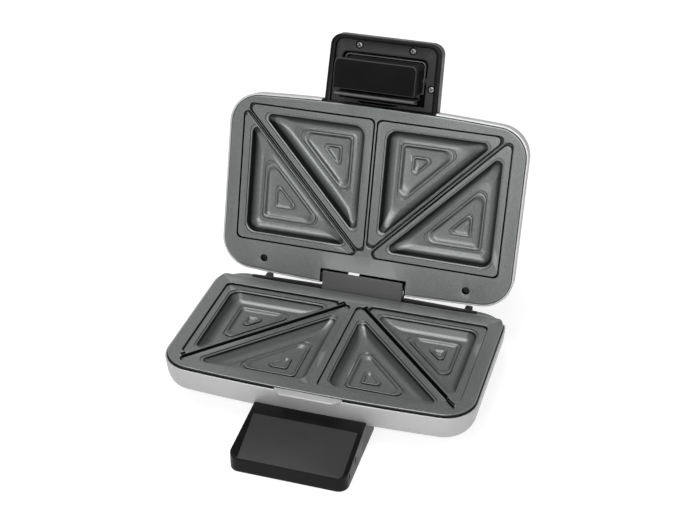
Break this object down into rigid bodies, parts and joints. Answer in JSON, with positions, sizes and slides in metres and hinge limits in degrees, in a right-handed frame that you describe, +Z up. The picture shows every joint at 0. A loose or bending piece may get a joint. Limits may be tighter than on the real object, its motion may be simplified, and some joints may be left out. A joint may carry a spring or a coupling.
{
  "type": "sandwich toaster",
  "caption": "Hinged sandwich toaster with diagonal pocket plates, silver casings, dark plastic handles and a pivoting clip latch on the lid handle.",
  "frame": {"origin": "middle of the footprint, at the height where the feet stand", "axes": "+Z up, +X to the right as seen from the handles' side, -Y towards the handles (front); row rest pose has the lid open"},
  "size_m": [0.279, 0.3054, 0.2732],
  "materials": {
    "casing_silver": "satin silver",
    "nonstick_lower": "satin non-stick coating on cast aluminium",
    "nonstick_upper": "satin non-stick coating on cast aluminium",
    "black_plastic": "smooth, softly glossy",
    "dark_plastic_panel": "fine matt grain",
    "latch_black": "smooth, softly glossy",
    "foot_rubber": "matt",
    "screw_steel": "bright zinc",
    "plate_screw_steel": "dull",
    "element_steel": "heat-stained",
    "clip_steel": "plain",
    "reflector_aluminium": "plain sheet",
    "ceramic_body": "unglazed ceramic look",
    "fuse_sleeve": "glass-fibre sleeve",
    "terminal_white": "plain",
    "lead_insulation": "silicone",
    "hinge_grey": "satin",
    "hinge_black": "satin",
    "pin_steel": "ground",
    "lens_green": "clear tinted",
    "lens_red": "clear tinted",
    "board_green": "plain",
    "washer_dark": "plain"
  },
  "bodies": {
    "base": {"lower_casing": "casing_silver", "bottom_cover": "black_plastic", "rubber_feet": "foot_rubber", "bottom_screws": "screw_steel", "lower_plate": "nonstick_lower", "lower_plate_screws": "screw_steel", "lower_heating_element": "element_steel", "lower_element_clips": "clip_steel", "lower_reflector": "reflector_aluminium", "thermostat": "ceramic_body", "thermal_fuse": "fuse_sleeve", "terminal_block": "terminal_white", "base_wiring": "lead_insulation", "cord_inlet": "black_plastic", "hinge_shield": "hinge_grey", "hinge_block": "hinge_black", "hinge_block_screws": "screw_steel", "hinge_pin": "pin_steel", "rear_stand_posts": "black_plastic", "lower_handle": "black_plastic", "lower_handle_base": "black_plastic", "lower_handle_screws": "screw_steel"},
    "lid": {"lid_casing": "casing_silver", "upper_plate": "nonstick_upper", "upper_plate_screws": "plate_screw_steel", "upper_heating_element": "element_steel", "upper_element_clips": "clip_steel", "upper_reflector": "reflector_aluminium", "lid_hinge_cover": "black_plastic", "lid_hinge_brackets": "hinge_black", "lid_handle_cover": "black_plastic", "lid_handle_panel": "dark_plastic_panel", "lid_handle_screws": "screw_steel", "ready_lens_green": "lens_green", "power_lens_red": "lens_red", "lamp_board": "board_green", "latch_pin": "pin_steel", "latch_washers": "washer_dark"},
    "latch": {"latch_lever": "latch_black"}
  },
  "joints": [
    {"name": "lid_hinge", "type": "hinge", "parent": "base", "child": "lid", "pos_m": [0, 0.073, 0.0553], "axis": [1, 0, 0], "range_deg": [0, 106.5]},
    {"name": "latch_pivot", "type": "hinge", "parent": "lid", "child": "latch", "pos_m": [0, 0.13703, 0.23731], "axis": [1, 0, 0], "range_deg": [0, 8]}
  ]
}
